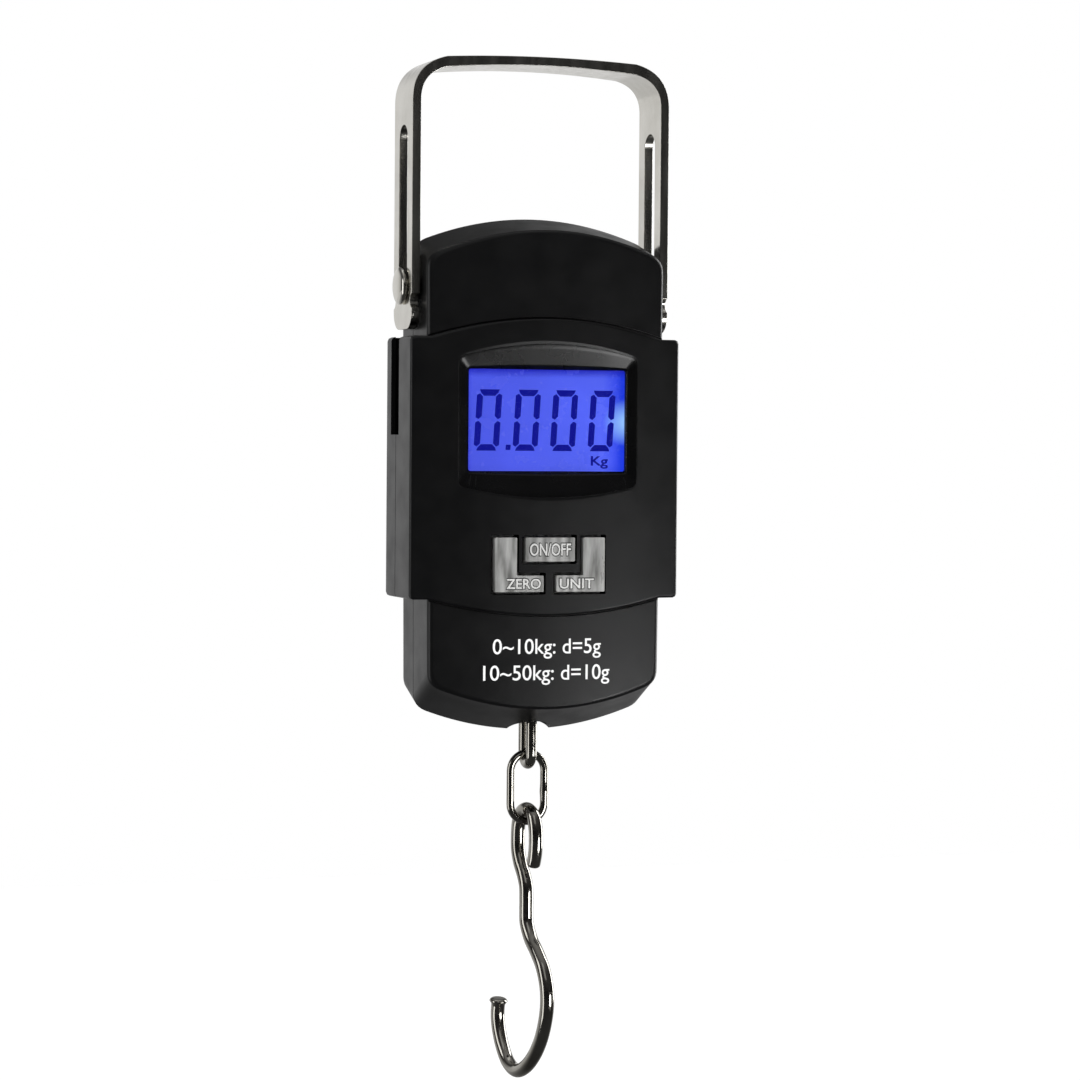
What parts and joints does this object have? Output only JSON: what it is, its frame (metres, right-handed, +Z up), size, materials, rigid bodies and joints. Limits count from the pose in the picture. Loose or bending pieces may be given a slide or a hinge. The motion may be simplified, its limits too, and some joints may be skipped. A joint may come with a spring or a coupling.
{
  "type": "digital fish scale",
  "caption": "Hanging digital scale with a sliding flat bail handle, lit display, push keys, battery cover, and a hook on a swinging chain link.",
  "frame": {"origin": "centre of the underside of the handle's crossbar, where a carrying hand lifts it", "axes": "+Z up, front with the display towards -Y, +X to the right as seen from the front; Y = 0 is the plane of the handle, studs and load cell"},
  "size_m": [0.0722, 0.033, 0.26],
  "materials": {
    "black_plastic": "fine satin texture, moulded",
    "chromed_steel": "bright nickel plate",
    "zinc_steel": "zinc plated",
    "aluminium": "machined",
    "silver_key": "silver painted, satin",
    "clear_window": "clear polished plastic",
    "display": "lit blue, glossy",
    "diffuser": "white, translucent",
    "board": "green solder mask",
    "rubber": "soft silicone",
    "battery_wrap": "printed film wrap, plain",
    "gauge_foil": "amber film"
  },
  "bodies": {
    "handle": {"handle": "chromed_steel"},
    "housing": {"front_housing": "black_plastic", "rear_housing": "black_plastic", "display_window": "clear_window", "lcd_panel": "display", "backlight_panel": "diffuser", "circuit_board": "board", "key_mat": "rubber", "load_yoke": "zinc_steel", "handle_stud_left": "chromed_steel", "handle_stud_right": "chromed_steel", "stud_nut_left": "zinc_steel", "stud_nut_right": "zinc_steel", "load_cell": "aluminium", "strain_gauge_left": "gauge_foil", "strain_gauge_right": "gauge_foil", "gauge_cable": "rubber", "yoke_bolt": "zinc_steel", "eye_bolt": "chromed_steel", "eye_bolt_nut": "zinc_steel", "battery_left": "battery_wrap", "battery_right": "battery_wrap", "contact_plate_left": "zinc_steel", "contact_plate_right": "zinc_steel", "contact_spring_left": "zinc_steel", "contact_spring_right": "zinc_steel", "housing_screw_1": "zinc_steel", "housing_screw_2": "zinc_steel", "housing_screw_3": "zinc_steel", "housing_screw_4": "zinc_steel", "board_screw_1": "zinc_steel", "board_screw_2": "zinc_steel"},
    "battery_cover": {"battery_cover": "black_plastic"},
    "zero_key": {"zero_key": "silver_key"},
    "on_off_key": {"on_off_key": "silver_key"},
    "unit_key": {"unit_key": "silver_key"},
    "chain_link": {"chain_link": "chromed_steel"},
    "hook": {"hook": "chromed_steel"}
  },
  "joints": [
    {"name": "housing_slide", "type": "slide", "parent": "handle", "child": "housing", "axis": [0, 0, 1], "range_m": [0, 0.036]},
    {"name": "cover_slide", "type": "slide", "parent": "housing", "child": "battery_cover", "axis": [0, 1, 0], "range_m": [0, 0.03]},
    {"name": "zero_key_press", "type": "slide", "parent": "housing", "child": "zero_key", "axis": [0, 1, 0], "range_m": [0, 0.0008], "stiffness_N_per_m": 1500},
    {"name": "on_off_key_press", "type": "slide", "parent": "housing", "child": "on_off_key", "axis": [0, 1, 0], "range_m": [0, 0.0008], "stiffness_N_per_m": 1500},
    {"name": "unit_key_press", "type": "slide", "parent": "housing", "child": "unit_key", "axis": [0, 1, 0], "range_m": [0, 0.0008], "stiffness_N_per_m": 1500},
    {"name": "link_swing", "type": "hinge", "parent": "housing", "child": "chain_link", "pos_m": [0, 0, -0.1766], "axis": [0, 1, 0], "range_deg": [-50, 50]},
    {"name": "hook_swing", "type": "hinge", "parent": "chain_link", "child": "hook", "pos_m": [0, 0, -0.1914], "axis": [1, 0, 0], "range_deg": [-60, 60]}
  ]
}
